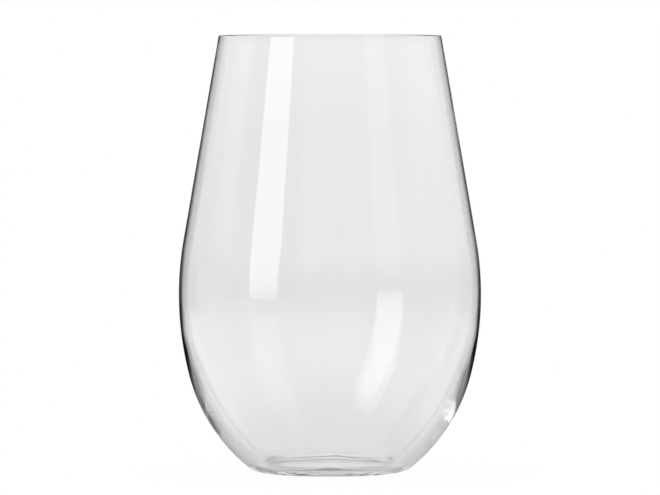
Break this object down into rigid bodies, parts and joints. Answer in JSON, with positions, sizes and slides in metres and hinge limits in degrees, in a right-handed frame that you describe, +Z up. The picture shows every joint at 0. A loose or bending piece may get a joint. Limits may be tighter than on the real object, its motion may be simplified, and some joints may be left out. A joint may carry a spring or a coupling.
{
  "type": "stemless wine glass",
  "caption": "Stemless wine glass: a round-bottomed clear bowl that narrows to a fine lip and stands on a small ring under its base.",
  "frame": {"origin": "centre of the foot, on the surface that the glass stands on", "axes": "+Z up along the axis that the bowl is turned about; X and Y are alike"},
  "size_m": [0.09, 0.09, 0.13],
  "materials": {
    "clear_glass": "clear, fire-polished gloss"
  },
  "bodies": {
    "root": {"glass_bowl": "clear_glass"}
  },
  "joints": []
}
